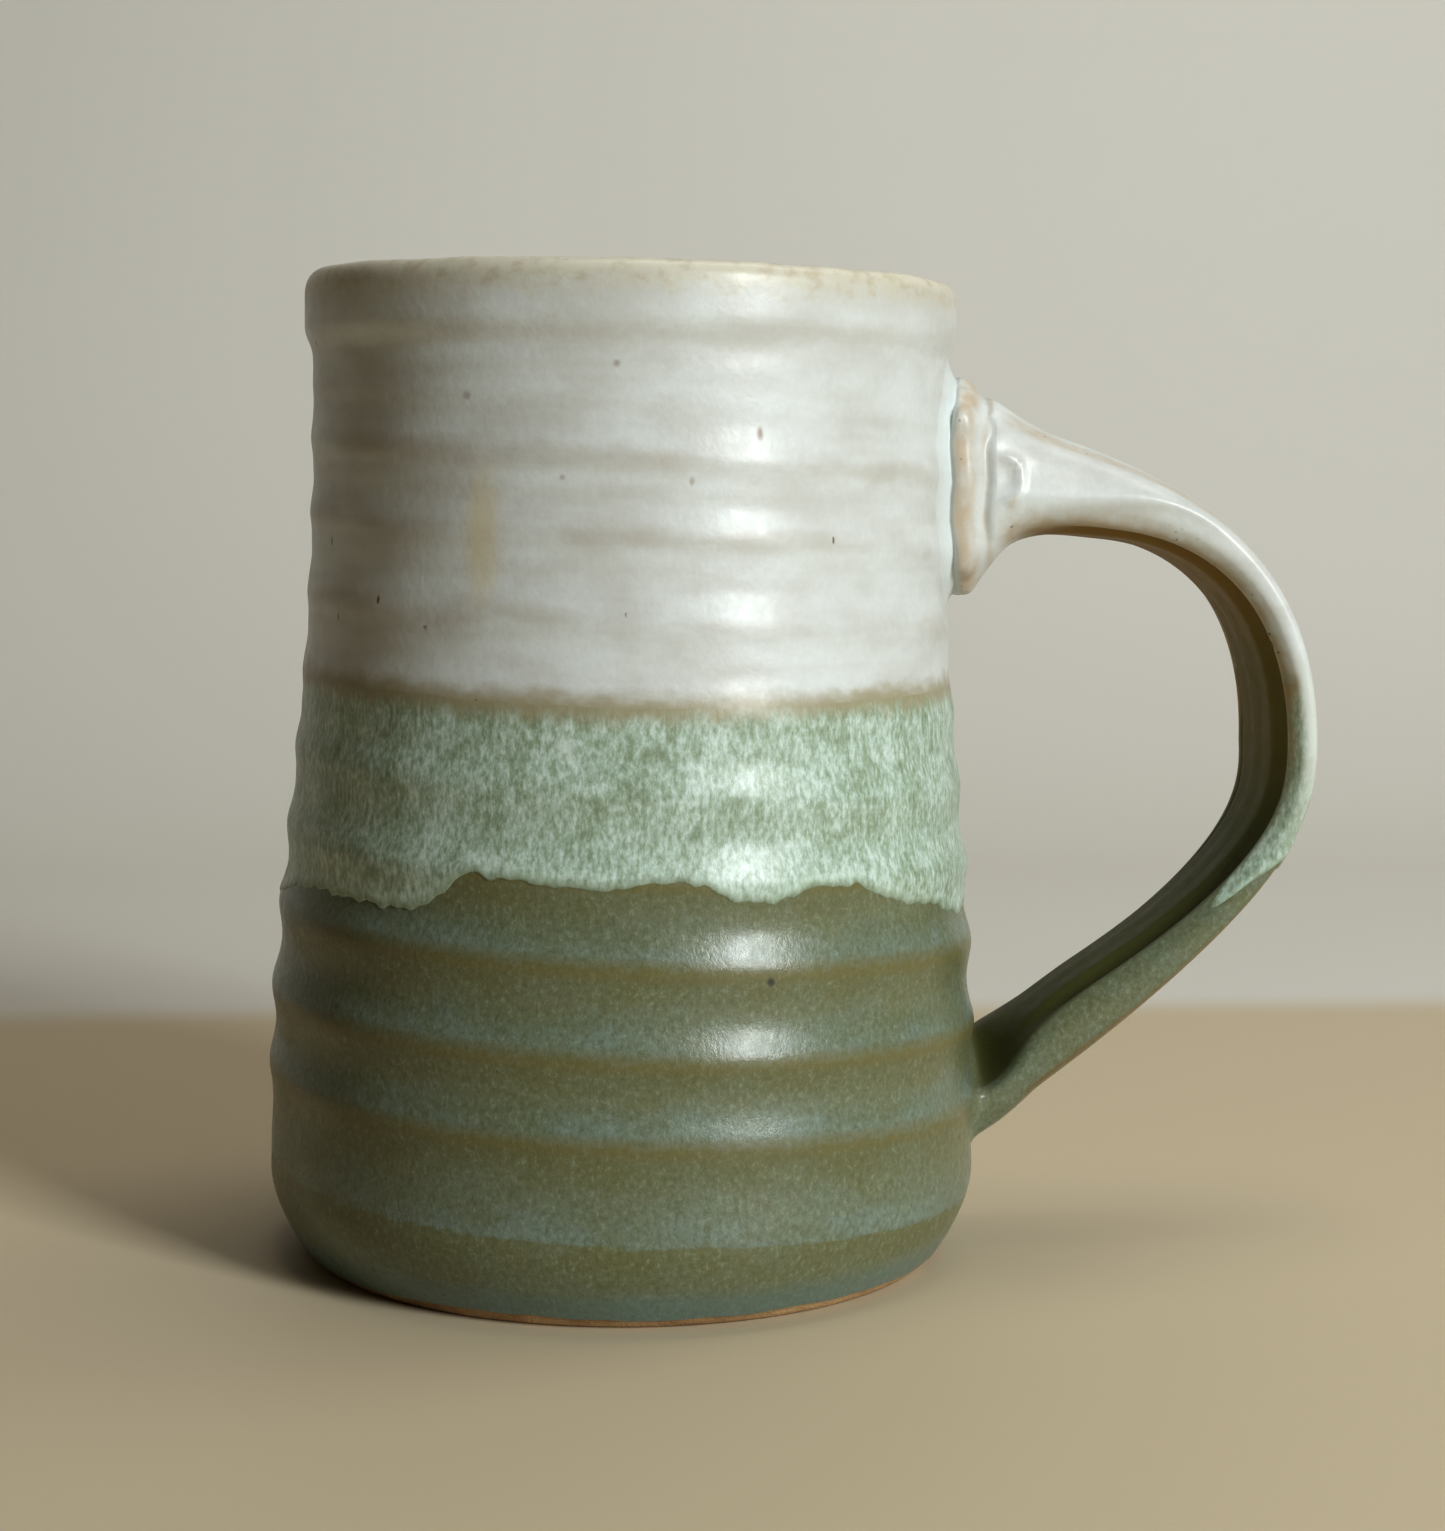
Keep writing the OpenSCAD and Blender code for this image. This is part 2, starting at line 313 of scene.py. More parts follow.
def section(around, width, thick, detail):
    """One section of the strap: across it, and towards its inner face.
    Each edge is a bead, with a groove beside it and a raised band along the middle."""
    c, s = np.cos(around), np.sin(around)
    across = np.sign(c) * np.abs(c) ** SECTION_POWER
    through = np.sign(s) * np.abs(s) ** SECTION_POWER
    place = np.abs(across)
    bead = np.where(across < 0, 1.0, 0.35) * np.exp(-((place - 0.86) / 0.11) ** 2)
    groove = -0.5 * np.exp(-((place - 0.66) / 0.08) ** 2)
    band = 1.1 * smooth((0.58 - place) / 0.14) + 0.25 * smooth((0.12 - place) / 0.1)
    crown = -0.35 * (1 - across ** 2) * smooth(-s / 0.3)
    return across * width / 2, through * thick / 2 + detail * (
        (bead + groove + band) * smooth(s / 0.25) + crown)


def root_margin(away, around):
    """Growth of the section near the upper root: fillet, pressed roll, then the groove behind it."""
    lump = 1 + 0.35 * ripple(around, 21, 2, 16, 0.6)
    beside = smooth((0.75 - np.sin(around)) / 0.5)
    fillet = 2.3 * np.exp(-away / 0.6)
    step = -0.3 * np.exp(-((away - 1.3) / 0.3) ** 2)
    roll = 0.75 * lump * np.exp(-np.abs((away - 2.7) / 1.2) ** 3)
    groove = -0.6 * beside * np.exp(-((away - 4.4 - 0.4 * lump) / 0.6) ** 2)
    return fillet + step + roll + groove


MARK_X, MARK_Z, MARK_RADIUS = 46.2, 100.0, 2.6


def tool_mark(x, z):
    """The crescent that a tool left on the near side of the root: a raised rim round a dent."""
    across, up = (x - MARK_X) * 1.35, z - MARK_Z
    distance = np.sqrt(across ** 2 + up ** 2)
    facing = smooth((across / (distance + 0.1) + 0.55) / 0.7)
    rim = facing * np.exp(-((distance - MARK_RADIUS) / 0.5) ** 2)
    return rim - 0.6 * np.exp(-(distance / (0.6 * MARK_RADIUS)) ** 2)


def strap_point(s, around, depth=0.0):
    """Points of the handle's surface; s and around are arrays of one shape."""
    centre, inward = strap_centre(s)
    t0, t1 = np.clip(s, 0, 1), np.clip(s - 1, 0, 1)
    thick = np.where(s <= 1, mix(STRAP_THICK, FLARE_HEIGHT, (1 - t0) ** FLARE_POWER),
                     mix(STRAP_THICK, TAIL_THICK, t1 ** TAIL_POWER))
    width = np.where(s <= 1, STRAP_WIDTH, mix(STRAP_WIDTH, TAIL_WIDTH, t1))
    from_root = centre[..., 0] - TOP_CURVE[0][0]
    margin = np.where(s < 1, root_margin(from_root, around), 0)
    from_tail = np.linalg.norm(centre - TAIL_CURVE[3], axis=-1)
    tail_margin = np.where(s > 1, 1.6 * np.exp(-from_tail / 0.7), 0)
    detail = smooth((from_root - 9) / 14) * smooth((from_tail - 1) / 8)
    grow = 2 * (margin + tail_margin - depth)
    across, through = section(around, width + grow, thick + grow, detail)
    # The flare is fuller near the wall, most of all in the lobe under it
    share = 2 * through / (thick + grow)
    over = 1.5 * np.exp(-((from_root - 5) / 4.2) ** 2)
    under = 3.3 * np.exp(-((from_root - 3.4) / 2.9) ** 2)
    through = through + np.where(s < 1, share * np.where(share > 0, under, over), 0)
    # A ridge runs low along each side of the flare, and the side leans in above it
    ridge = mix(0.3, -0.7, smooth((from_root - 14) / 24))
    fade = (s < 1) * smooth((from_root - 4) / 6) * smooth((46 - from_root) / 24)
    lean_in = 1.5 * np.clip(ridge - share, 0, 2) ** 1.5 - 0.5 * np.exp(-((share - ridge) / 0.3) ** 2)
    beyond = np.abs(across) / (width / 2)
    across = across - np.sign(across) * fade * lean_in * smooth((beyond - 0.3) / 0.6)
    # The tail's inner face slopes down to the near side, which ends in a thin roll
    near = smooth((0.4 - across / (width / 2)) / 1.2)
    sunk = np.where(s > 1, 4.6 * np.exp(-(from_tail / 7) ** 2), 0)
    through = through - sunk * near * np.clip(share + 0.2, 0, 1.2)
    x = centre[..., 0] + through * inward[..., 0]
    z = centre[..., 1] + through * inward[..., 1]
    # Near the upper root the sections bend to follow the wall
    bend = smooth(from_root / 11) * (s < 1) + (s >= 1)
    x = mix(on_wall(across, z) + from_root - 0.12, x, bend)
    # Near the tail they turn to lie flat on it
    spread, rise = section(around, TAIL_WIDTH + grow, TAIL_ROOT_HEIGHT + grow, 0)
    turn = np.where(s > 1, smooth(from_tail / 7), 1)
    y = mix(spread, across, turn)
    rise = rise - sunk * near * np.clip(2 * rise / TAIL_ROOT_HEIGHT + 0.2, 0, 1.2)
    z = mix(LOWER_Z + rise, z, turn)
    x = mix(on_wall(spread, LOWER_Z + rise) + from_tail * 0.7 - 0.12, x, turn)
    y = y - 0.55 * tool_mark(x, z) * smooth((-y - 8) / 3)
    return np.stack([x, y, z], -1)


def strap_rows(start, end, count, depth):
    """Rings along the strap between two edges, each a value or one for every point round it."""
    rows = []
    for t in np.linspace(0, 1, count):
        s = mix(start, end, t) + 0 * STRAP_AROUND
        rows.append(strap_point(s, STRAP_AROUND, depth))
    return rows


# ---------------------------------------------------------------------------
# Mesh building
# ---------------------------------------------------------------------------


def skin(name, rings, looped, sharp_rows=(0, -1)):
    """A closed solid through rings of points: joined end to end, or closed at both ends by a fan."""
    n, m = len(rings), len(rings[0])
    points = np.concatenate(rings)
    row = np.arange(n if looped else n - 1)[:, None]
    col = np.arange(m)[None, :]
    after, right = (row + 1) % n, (col + 1) % m
    quads = np.stack([row * m + col, row * m + right, after * m + right, after * m + col], -1)
    faces = quads.reshape(-1, 4).tolist()
    if not looped:
        points = np.concatenate([points, rings[0].mean(0)[None], rings[-1].mean(0)[None]])
        first, last = n * m, n * m + 1
        faces += [[(c + 1) % m, c, first] for c in range(m)]
        end = (n - 1) * m
        faces += [[end + c, end + (c + 1) % m, last] for c in range(m)]
    mesh = bpy.data.meshes.new(name)
    mesh.from_pydata((points * MM).tolist(), [], faces)
    mesh.shade_smooth()
    if sharp_rows:
        rows = set(r % n for r in sharp_rows)
        for edge in mesh.edges:
            a, b = edge.vertices
            if a // m == b // m and a // m in rows:
                edge.use_edge_sharp = True
    mesh.update()
    piece = bpy.data.objects.new(name, mesh)
    bpy.context.scene.collection.objects.link(piece)
    return piece


def paint(piece, name, values):
    """Stores one number for every point of a piece, for its material to read."""
    layer = piece.data.attributes.new(name, "FLOAT", "POINT")
    layer.data.foreach_set("value", np.asarray(values, np.float32))


def points_of(piece):
    flat = np.empty(len(piece.data.vertices) * 3)
    piece.data.vertices.foreach_get("co", flat)
    return flat.reshape(-1, 3) / MM


def place(piece, slot, material, *nodes):
    """Every piece of the mug rides on the one body and stands for its CAD nodes."""
    piece.data.materials.append(material)
    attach(piece, "root")
    if nodes:
        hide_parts(*nodes)


def coat(name, outer, inner):
    """A shell of glaze between an outer and an inner set of rings."""
    rings = outer + inner[::-1]
    edge = len(outer)
    return skin(name, rings, True, (0, edge - 1, edge, len(rings) - 1))


ANGLE = np.linspace(0, 2 * math.pi, COLUMNS, endpoint=False)
DRIP_LINE, BAND_LINE, BARE_LINE = drip_edge(ANGLE), band_top(ANGLE), bare_line(ANGLE)


def mark_cup(piece):
    """Heights above the glaze edges and the place on the finger rings, for the materials."""
    p = points_of(piece)
    angle = np.arctan2(p[:, 1], p[:, 0])
    paint(piece, "above_drip", p[:, 2] - drip_edge(angle))
    paint(piece, "above_band", p[:, 2] - band_top(angle))
    paint(piece, "ridge", smooth(ring_height(p[:, 2]) / 0.3) * finger_rings(angle, p[:, 2]))
    for only_on_strap in ("thin", "inner", "pale", "pool"):
        paint(piece, only_on_strap, 0 * angle)
    paint(piece, "height", p[:, 2])
    turns = ring_turns(p[:, 2]) - (angle - FRONT) / (2 * math.pi)
    paint(piece, "below_ridge", turns - np.floor(turns))


def drip_swell(above):
    """Thickness that the overlapping coat adds above its rounded lower edge."""
    edge = np.sqrt(np.clip(1 - (1 - np.clip(above / 1.1, 0, 1)) ** 2, 0, 1))
    return edge * mix(0.10, 0.26, np.exp(-np.maximum(above, 0) / 3.0))


def overlap_rows(angle, count, depth):
    rows = []
    for t in np.linspace(0, 1, count) ** 1.35:
        z = mix(DRIP_LINE, BAND_LINE, t)
        above = z - DRIP_LINE
        swell = drip_swell(above) * (1 - smooth((z - BAND_LINE + 6) / 6))
        rows.append(ring(angle, cup_radius(angle, z) + swell - depth, z))
    return rows


# ---------------------------------------------------------------------------
# Materials
# ---------------------------------------------------------------------------


def linear(*rgb):
    """A colour given as 0-255 screen values, in the linear light that the shader works in."""
    c = np.array(rgb) / 255
    return (*np.where(c < 0.04045, c / 12.92, ((c + 0.055) / 1.055) ** 2.4).tolist(), 1.0)


class Look:
    """One material and the nodes in it."""

    def __init__(self, name):
        self.material = bpy.data.materials.new(name)
        self.material.use_nodes = True
        self.tree = self.material.node_tree
        self.shader = self.tree.nodes["Principled BSDF"]
        self.place = self.put("ShaderNodeTexCoord").outputs["Object"]

    def put(self, kind, inputs=None, **settings):
        node = self.tree.nodes.new(kind)
        for name, value in settings.items():
            setattr(node, name, value)
        for name, value in (inputs or {}).items():
            self.feed(node.inputs[name], value)
        return node

    def feed(self, socket, value):
        if isinstance(value, bpy.types.NodeSocket):
            self.tree.links.new(value, socket)
        elif value is not None:
            socket.default_value = value

    def mark(self, name):
        """A number painted on the points of the piece."""
        return self.put("ShaderNodeAttribute", attribute_name=name).outputs["Fac"]

    def noise(self, size, stretch=(1, 1, 1), detail=3.0, rough=0.55, warp=0.0):
        """Noise with features of about the given size in millimetres, 0 to 1."""
        scale = tuple(1 / (size * MM * k) for k in stretch)
        at = self.put("ShaderNodeMapping", {"Vector": self.place, "Scale": scale})
        node = self.put("ShaderNodeTexNoise", {
            "Vector": at.outputs[0], "Scale": 1.0, "Detail": detail, "Roughness": rough,
            "Distortion": warp})
        return node.outputs["Fac"]

    def cells(self, size, stretch=(1, 1, 1), random=1.0):
        """Distance to the nearest of scattered points, in units of the spacing."""
        scale = tuple(1 / (size * MM * k) for k in stretch)
        at = self.put("ShaderNodeMapping", {"Vector": self.place, "Scale": scale})
        node = self.put("ShaderNodeTexVoronoi", {
            "Vector": at.outputs[0], "Scale": 1.0, "Randomness": random})
        return node.outputs["Distance"]

    def math(self, operation, a, b=0.0, c=0.0):
        node = self.put("ShaderNodeMath", operation=operation)
        for socket, value in zip(node.inputs, (a, b, c)):
            self.feed(socket, value)
        return node.outputs[0]

    def span(self, value, low, high, to_low=0.0, to_high=1.0):
        """Soft step from one value to another as the input runs from low to high."""
        return self.put("ShaderNodeMapRange", {
            "Value": value, "From Min": low, "From Max": high,
            "To Min": to_low, "To Max": to_high}, interpolation_type="SMOOTHSTEP").outputs[0]

    def ramp(self, value, stops):
        """Colours at places along 0 to 1."""
        node = self.put("ShaderNodeValToRGB", {"Fac": value})
        stop = node.color_ramp.elements
        for _ in stops[2:]:
            stop.new(0.5)
        for element, (at, colour) in zip(stop, stops):
            element.position, element.color = at, linear(*colour)
        return node.outputs["Color"]

    def blend(self, share, a, b, mode="MIX"):
        node = self.put("ShaderNodeMix", data_type="RGBA", blend_type=mode)
        self.feed(node.inputs["Factor"], share)
        colours = [s for s in node.inputs if s.type == "RGBA"]
        for socket, value in zip(colours, (a, b)):
            self.feed(socket, linear(*value) if isinstance(value, tuple) else value)
        return [s for s in node.outputs if s.type == "RGBA"][0]

    def spot(self, colour, place, size, tint):
        """One soft-edged mark on the wall: degrees from the front and height, then its half sizes."""
        turn, z = math.radians(place[0]) + FRONT, place[1]
        radius = float(taper(z))
        at = Vector((radius * math.cos(turn), radius * math.sin(turn), z)) * MM
        away = self.put("ShaderNodeVectorMath", {0: self.place, 1: at}, operation="SUBTRACT")
        flat = self.put("ShaderNodeVectorMath", {
            0: away.outputs[0], 1: tuple(1 / (k * MM) for k in size)}, operation="MULTIPLY")
        far = self.put("ShaderNodeVectorMath", {0: flat.outputs[0]}, operation="LENGTH").outputs["Value"]
        ragged = self.math("ADD", far, self.math("MULTIPLY", self.noise(1.0), 0.6))
        return self.blend(self.span(ragged, 1.7, 0.6, 0.0, tint[3]), colour, tint[:3])

    def dull(self, rough):
        """Less gloss on the handle's inner face, where the glaze is thin."""
        return self.math("ADD", rough, self.math("MULTIPLY", self.mark("inner"), 0.35))

    def finish(self, colour, roughness, bump=None, height=0.00004, **values):
        self.feed(self.shader.inputs["Base Color"], colour)
        self.feed(self.shader.inputs["Roughness"], roughness)
        if bump is not None:
            relief = self.put("ShaderNodeBump", {"Height": bump, "Distance": height})
            self.feed(self.shader.inputs["Normal"], relief.outputs[0])
        for name, value in values.items():
            self.shader.inputs[name.replace("_", " ").title()].default_value = value
        return self.material


# Iron spots and one yellowish drip on the wall: place, half sizes, colour and strength
WALL_SPOTS = (
    ((23.7, 104.8), (0.45, 0.45, 0.85), (118, 80, 54, 0.85)),
    ((-0.4, 112.5), (0.45, 0.45, 0.45), (140, 120, 108, 0.55)),
    ((-26.0, 108.8), (0.6, 0.6, 0.55), (126, 116, 104, 0.45)),
    ((12.0, 99.2), (0.35, 0.35, 0.55), (140, 122, 106, 0.5)),
    ((-9.2, 99.5), (0.35, 0.35, 0.35), (140, 122, 106, 0.45)),
    ((-23.0, 92.5), (2.4, 2.4, 8.0), (204, 192, 152, 0.55)),
)

# The larger spots in the green glaze, in the same terms
GREEN_SPOTS = (
    ((24.0, 41.5), (0.55, 0.55, 0.55), (50, 52, 50, 0.9)),
    ((36.0, 35.5), (0.5, 0.5, 0.4), (56, 60, 58, 0.8)),
    ((38.0, 26.0), (0.5, 0.5, 0.7), (70, 76, 66, 0.6)),
    ((-48.0, 36.0), (0.6, 0.6, 0.5), (44, 40, 30, 0.8)),
)


def add_specks(look, colour, tint, spacing, size, tall=1.4, share=0.5):
    """Scattered iron specks, drawn out a little down the wall as the glaze ran."""
    distance = look.cells(spacing, (1, 1, tall))
    ragged = look.math("MULTIPLY", look.noise(0.8, detail=2.0), 0.05)
    dot = look.span(look.math("ADD", distance, ragged), size + 0.05, size + 0.025)
    chance = look.span(look.noise(spacing * 1.7, detail=0.0), share, share + 0.06)
    return look.blend(look.math("MULTIPLY", dot, chance), colour, tint)


# Colours in two glazes: where they meet, on the strap's outer face, and the painted shade on its inner
# face
MEETING_TAN, STRAP_PALE, INNER_SHADE_OLIVE = (154, 146, 118), (202, 207, 200), (110, 94, 36)


def white_glaze():
    look = Look("white glaze")
    cloud = look.noise(14, (1, 1, 0.5), 4)
    base = look.ramp(look.span(cloud, 0.3, 0.7), [(0, (197, 198, 194)), (1, (213, 218, 217))])
    grain = look.noise(0.8, (1, 1, 1.2), 3, 0.6)
    base = look.blend(look.span(grain, 0.35, 0.75, 0.12, 0.0), base, (170, 168, 158))
    # Fine lines drawn round the wall as the cup turned
    lines = look.noise(2.6, (16, 16, 1), 2, 0.5)
    base = look.blend(look.span(lines, 0.42, 0.75, 0.0, 0.14), base, (164, 154, 140))
    patch = look.span(look.noise(16, (1, 1, 0.4)), 0.3, 0.7, -0.5, 0.35)
    ridge = look.math("ADD", look.mark("ridge"), patch)
    base = look.blend(look.span(ridge, 0.1, 1.1, 0.0, 0.4), base, (164, 152, 134))
    # Thin over the lip, where the clay warms it
    rag = look.math("MULTIPLY", look.math("SUBTRACT", look.noise(3.5, (1, 1, 0.5), 4), 0.5), 5.0)
    top = look.math("ADD", look.mark("height"), rag)
    base = look.blend(look.span(top, HEIGHT - 6.0, HEIGHT - 1.5, 0.0, 0.7), base, (192, 184, 160))
    crest = look.span(look.mark("height"), HEIGHT - 2.6, HEIGHT - 0.9, 0.0, 0.7)
    base = look.blend(crest, base, (214, 209, 192))
    fleck = look.span(look.noise(2.4, (1, 1, 0.8), detail=3.0), 0.45, 0.7, 0.0, 0.35)
    fleck = look.math("MULTIPLY", look.span(top, HEIGHT - 5.0, HEIGHT - 2.5), fleck)
    base = look.blend(fleck, base, (160, 140, 106))
    # Thin and tan over the roll at the handle's root and along its edges
    worn = look.span(look.noise(2.5, (1, 1, 1.5), detail=4.0), 0.3, 0.62, 0.4, 1.0)
    thin = look.math("MULTIPLY", look.mark("thin"), worn)
    base = look.blend(look.math("MULTIPLY", look.mark("pool"), 0.6), base, (208, 218, 218))
    low = look.math("MULTIPLY", look.span(look.mark("above_band"), 5.0, 0.0), look.mark("pale"))
    base = look.blend(low, base, STRAP_PALE)
    # Painted shade on the strap's inner face: dark olive at the band, brown higher up
    rise = look.span(look.mark("above_band"), 0.0, 16.0)
    inner = look.ramp(rise, [(0, INNER_SHADE_OLIVE), (1, (134, 104, 50))])
    base = look.blend(look.mark("inner"), base, inner)
    base = look.blend(look.math("MULTIPLY", thin, 0.75), base, (177, 156, 126))
    pits = look.span(look.cells(1.7), 0.16, 0.08, 0.0, 0.8)
    patchy = look.math("MULTIPLY", pits, look.span(look.noise(3.0), 0.45, 0.6))
    base = look.blend(look.math("MULTIPLY", patchy, look.mark("thin")), base, (96, 66, 42))
    # Tan where it meets the green glaze
    wander = look.math("MULTIPLY", look.math("SUBTRACT", look.noise(3, (1, 1, 0.6), 4), 0.5), 3.0)
    near = look.math("ADD", look.mark("above_band"), wander)
    plain = look.span(look.math("ADD", look.mark("pale"), look.mark("inner")), 1.0, 0.0)
    tan = look.math("MULTIPLY", look.span(near, 2.6, -0.2, 0.0, 0.9), plain)
    base = look.blend(tan, base, MEETING_TAN)
    base = add_specks(look, base, (112, 84, 58), 9, 0.045)
    base = add_specks(look, base, (122, 106, 88), 3.2, 0.06, 2.4, 0.54)
    for place, size, tint in WALL_SPOTS:
        base = look.spot(base, place, size, tint)
    rough = look.dull(look.span(look.noise(2.0, detail=4.0), 0.3, 0.7, 0.34, 0.46))
    return look.finish(base, rough, look.noise(1.3, detail=3.0), 0.00005, coat_weight=0.12,
                       coat_roughness=0.2)


def mottled_glaze():
    look = Look("mottled glaze")
    flecks = look.noise(0.6, (1, 1, 2.2), 3, 0.7)
    patch = look.noise(4.5, (1, 1, 1.2), 4)
    above, below_band = look.mark("above_drip"), look.mark("above_band")
    level = look.math("ADD", flecks, look.math("MULTIPLY", look.math("SUBTRACT", patch, 0.5), 0.5))
    # Milky towards the lower edge, thin and tan at the upper one
    level = look.math("ADD", level, look.span(above, 4.0, 0.8, 0.0, 0.05))
    base = look.ramp(look.span(level, 0.2, 0.8), [
        (0.0, (126, 140, 116)), (0.4, (156, 173, 154)), (0.65, (174, 192, 179)),
        (1.0, (204, 217, 209))])
    wander = look.math("MULTIPLY", look.math("SUBTRACT", look.noise(2.4, (1, 1, 1.5)), 0.5), 3.0)
    near = look.math("ADD", below_band, wander)
    plain = look.span(look.mark("pale"), 1.0, 0.0)
    tan = look.math("MULTIPLY", look.span(near, -2.8, 0.0, 0.0, 0.9), plain)
    base = look.blend(tan, base, MEETING_TAN)
    blot = look.span(look.cells(11), 0.13, 0.05, 0.0, 0.5)
    base = look.blend(blot, base, (108, 124, 94))
    # Pale greenish roll along the lower edge, broken here and there
    edge = look.math("MULTIPLY", look.span(above, 0.1, 0.6), look.span(above, 2.4, 0.7))
    broken = look.span(look.noise(5, (1, 1, 0.3)), 0.42, 0.62, 0.0, 0.4)
    base = look.blend(look.math("MULTIPLY", edge, broken), base, (186, 208, 188))
    rag = look.math("MULTIPLY", look.math("SUBTRACT", look.noise(1.2), 0.5), 1.6)
    ragged = look.math("ADD", above, rag)
    base = look.blend(look.span(ragged, 1.5, 0.1, 0.0, 0.6), base, (116, 128, 100))
    base = look.blend(look.mark("pale"), base, STRAP_PALE)
    # Painted shade on the strap's inner face: dark olive, darkest near the coat's lower edge
    inner = look.ramp(look.span(above, 0.0, 20.0), [(0, (82, 84, 38)), (1, INNER_SHADE_OLIVE)])
    base = look.blend(look.mark("inner"), base, inner)
    worn = look.span(look.noise(2.5, (1, 1, 1.5), detail=4.0), 0.3, 0.62, 0.4, 1.0)
    thin = look.math("MULTIPLY", look.mark("thin"), worn)
    thin = look.math("MULTIPLY", thin, look.span(below_band, -24.0, 0.0, 0.1, 0.8))
    base = look.blend(thin, base, (164, 138, 98))
    rough = look.dull(look.span(look.noise(2.0, detail=4.0), 0.3, 0.7, 0.34, 0.46))
    relief = look.math("MULTIPLY", flecks, look.span(look.mark("inner"), 0.0, 1.0, 1.0, 0.2))
    return look.finish(base, rough, relief, 0.00004, coat_weight=0.12, coat_roughness=0.2)


def green_glaze():
    look = Look("green glaze")
    cloud = look.noise(9, (1, 1, 0.5), 4)
    fine = look.noise(0.65, (1, 1, 1.3), 3, 0.75)
    patch = look.math("MULTIPLY", look.math("SUBTRACT", cloud, 0.5), 1.3)
    # The glaze is thin and olive on and under each ridge, and pools greyish blue above the next
    below = look.mark("below_ridge")
    pooled = look.math("ADD", look.span(below, 0.05, 0.95, 0.1, 0.9), patch)
    base = look.ramp(pooled, [
        (0.0, (108, 109, 76)), (0.4, (111, 116, 90)), (0.75, (112, 121, 102)), (1.0, (117, 130, 118))])
    base = look.blend(look.span(fine, 0.30, 0.55, 0.6, 0.0), base, (88, 93, 62))
    base = look.blend(look.span(fine, 0.52, 0.72, 0.0, 0.5), base, (142, 155, 136))
    line = look.math("ADD", look.mark("ridge"), look.math("MULTIPLY", patch, 0.5))
    base = look.blend(look.span(line, 0.3, 1.05, 0.0, 0.6), base, (110, 102, 60))
    height = look.mark("height")
    base = look.blend(look.span(height, 6.0, 3.0, 0.0, 0.5), base, (100, 122, 118))
    # Painted shade: the strap's inner face is dark olive
    base = look.blend(look.mark("inner"), base, (74, 74, 24))
    base = look.blend(look.math("MULTIPLY", look.mark("thin"), 0.7), base, (122, 92, 54))
    base = add_specks(look, base, (52, 52, 44), 8, 0.05)
    for place, size, tint in GREEN_SPOTS:
        base = look.spot(base, place, size, tint)
    rough = look.dull(look.span(look.noise(2.0, detail=4.0), 0.3, 0.7, 0.27, 0.38))
    return look.finish(base, rough, fine, 0.00006, coat_weight=0.12, coat_roughness=0.15)


def bare_clay():
    look = Look("bare stoneware")
    cloud = look.noise(6, (1, 1, 0.6), 4)
    grain = look.noise(0.5, detail=3.0, rough=0.7)
    base = look.ramp(look.span(cloud, 0.3, 0.7), [(0, (150, 116, 80)), (1, (186, 154, 114))])
    base = look.blend(look.span(grain, 0.55, 0.75, 0.0, 0.5), base, (112, 82, 54))
    return look.finish(base, 0.85, grain, 0.0002)


WHITE, MOTTLED, GREEN, CLAY = white_glaze(), mottled_glaze(), green_glaze(), bare_clay()

# ---------------------------------------------------------------------------
# The cup
# ---------------------------------------------------------------------------


def white_rows(depth):
    return wall_rows(ANGLE, BAND_LINE, LIP_Z + 0 * ANGLE, 78, depth) + lip_rows(ANGLE, 16, depth)


white = coat("white_coat", white_rows(0), white_rows(COAT))
overlap = coat("overlap_coat", overlap_rows(ANGLE, 72, 0), overlap_rows(ANGLE, 72, COAT))


def green_rows(depth):
    return wall_rows(ANGLE, BARE_LINE, DRIP_LINE, 96, depth, 1.25)


green = coat("green_coat", green_rows(0), green_rows(COAT))

liner_top = inside_rows(ANGLE, 60, 0)
lip_edge = lip_rows(ANGLE, 16, 0)[-1]
liner_under = inside_rows(ANGLE, 60, COAT)
lip_under = lip_rows(ANGLE, 16, COAT)[-1]
liner_rings = liner_top[::-1] + [lip_edge, lip_under] + liner_under
liner = skin("inside_coat", liner_rings, False, (len(liner_top), len(liner_top) + 1, 0))


def clay_rings():
    """The stoneware under its glazes: the recess under the foot, the foot, the wall, the floor."""
    rows = []
    for share in (0.05, 0.3, 0.6, 0.9):
        rows.append(ring(ANGLE, (FOOT - 8.5) * share + 0 * ANGLE, RECESS))
    for inward, z in ((7.6, 1.15), (6.9, 0.75), (6.4, 0.3), (5.8, 0.04), (5.0, 0.0), (3.0, 0.0),
                      (1.4, 0.0), (0.75, 0.08), (0.5, 0.35)):
        level = np.full_like(ANGLE, z)
        rows.append(ring(ANGLE, cup_radius(ANGLE, level) - inward, z))
    rows += wall_rows(ANGLE, 0.8 + 0 * ANGLE, LIP_Z + 0 * ANGLE, 98, COAT * 0.9)
    rows += lip_rows(ANGLE, 16, COAT * 0.9)
    rows += inside_rows(ANGLE, 34, COAT * 0.9)
    return rows


clay = skin("clay_cup", clay_rings(), False)

# ---------------------------------------------------------------------------
# The handle
# ---------------------------------------------------------------------------

S_TABLE = np.linspace(0, 1, 400)
ROOT_TABLE = strap_centre(S_TABLE)[0][:, 0] - TOP_CURVE[0][0]


def strap_level(target, low, high):
    """Place along the strap where each line along it crosses a height."""
    a, b = np.full(AROUND, low), np.full(AROUND, high)
    for _ in range(40):
        middle = (a + b) / 2
        above = strap_point(middle, STRAP_AROUND)[:, 2] > target
        a, b = np.where(above, middle, a), np.where(above, b, middle)
    return (a + b) / 2


